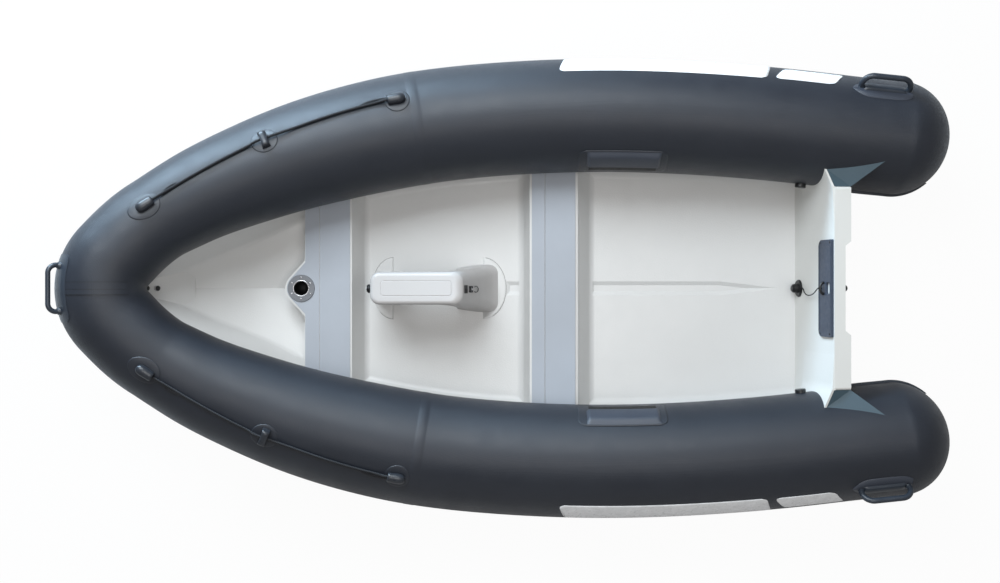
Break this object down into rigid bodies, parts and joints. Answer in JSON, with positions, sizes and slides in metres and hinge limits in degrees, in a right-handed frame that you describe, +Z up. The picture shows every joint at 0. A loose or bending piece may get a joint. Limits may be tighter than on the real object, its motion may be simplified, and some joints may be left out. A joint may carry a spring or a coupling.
{
  "type": "inflatable rib boat",
  "caption": "Small rigid inflatable boat with a sectional white hull, grey tubes, raised cross beams, a centre pod and a transom for an outboard motor.",
  "frame": {"origin": "amidships on the centre line, on the waterline of the empty boat", "axes": "+X towards the bow, +Y to port, +Z up"},
  "size_m": [2.7433, 1.4439, 0.6011],
  "materials": {
    "tube_fabric": "slate grey coated fabric, satin",
    "trim_fabric": "darker coated fabric, satin",
    "gelcoat": "white gelcoat, glossy",
    "gelcoat_deck": "white gelcoat, fine grip texture",
    "grip_strip": "light blue-grey grip covering, matt",
    "socket_grey": "grey moulded plastic with black bore",
    "pad_plastic": "dark blue-grey moulded plastic",
    "handle_rubber": "dark moulded rubber, satin",
    "rope": "dark twisted rope",
    "steel": "stainless steel",
    "black_plastic": "black moulded plastic"
  },
  "bodies": {
    "root": {"air_valve_port": "black_plastic", "air_valve_starboard": "black_plastic", "bow_eye": "steel", "bow_handle": "handle_rubber", "centre_pod": "gelcoat", "deck_bow": "gelcoat_deck", "deck_mid": "gelcoat_deck", "deck_stern": "gelcoat_deck", "drain_bush": "black_plastic", "drain_plug": "black_plastic", "grab_rope_port": "rope", "grab_rope_starboard": "rope", "hull_bow": "gelcoat", "hull_mid": "gelcoat", "hull_stern": "gelcoat", "inner_strake_port": "trim_fabric", "inner_strake_starboard": "trim_fabric", "keel_strip_bow": "black_plastic", "keel_strip_mid": "black_plastic", "keel_strip_stern": "black_plastic", "lanyard_ring": "black_plastic", "motor_pad": "pad_plastic", "nose_strip": "trim_fabric", "plug_lanyard": "rope", "pole_socket": "socket_grey", "rope_holder_aft_port": "handle_rubber", "rope_holder_aft_starboard": "handle_rubber", "rope_holder_fore_port": "handle_rubber", "rope_holder_fore_starboard": "handle_rubber", "rope_holder_middle_port": "handle_rubber", "rope_holder_middle_starboard": "handle_rubber", "seat_pocket_port": "trim_fabric", "seat_pocket_starboard": "trim_fabric", "stern_handle_port": "handle_rubber", "stern_handle_starboard": "handle_rubber", "strip_aft_back": "grip_strip", "strip_aft_front": "grip_strip", "strip_fore_back": "grip_strip", "strip_fore_front": "grip_strip", "transom": "gelcoat", "transom_eye": "black_plastic", "transom_gusset_port": "trim_fabric", "transom_gusset_starboard": "trim_fabric", "transom_knob": "black_plastic", "tube_bow_port": "tube_fabric", "tube_bow_starboard": "tube_fabric", "tube_cone_port": "tube_fabric", "tube_cone_starboard": "tube_fabric", "tube_side_port": "tube_fabric", "tube_side_starboard": "tube_fabric"}
  },
  "joints": []
}
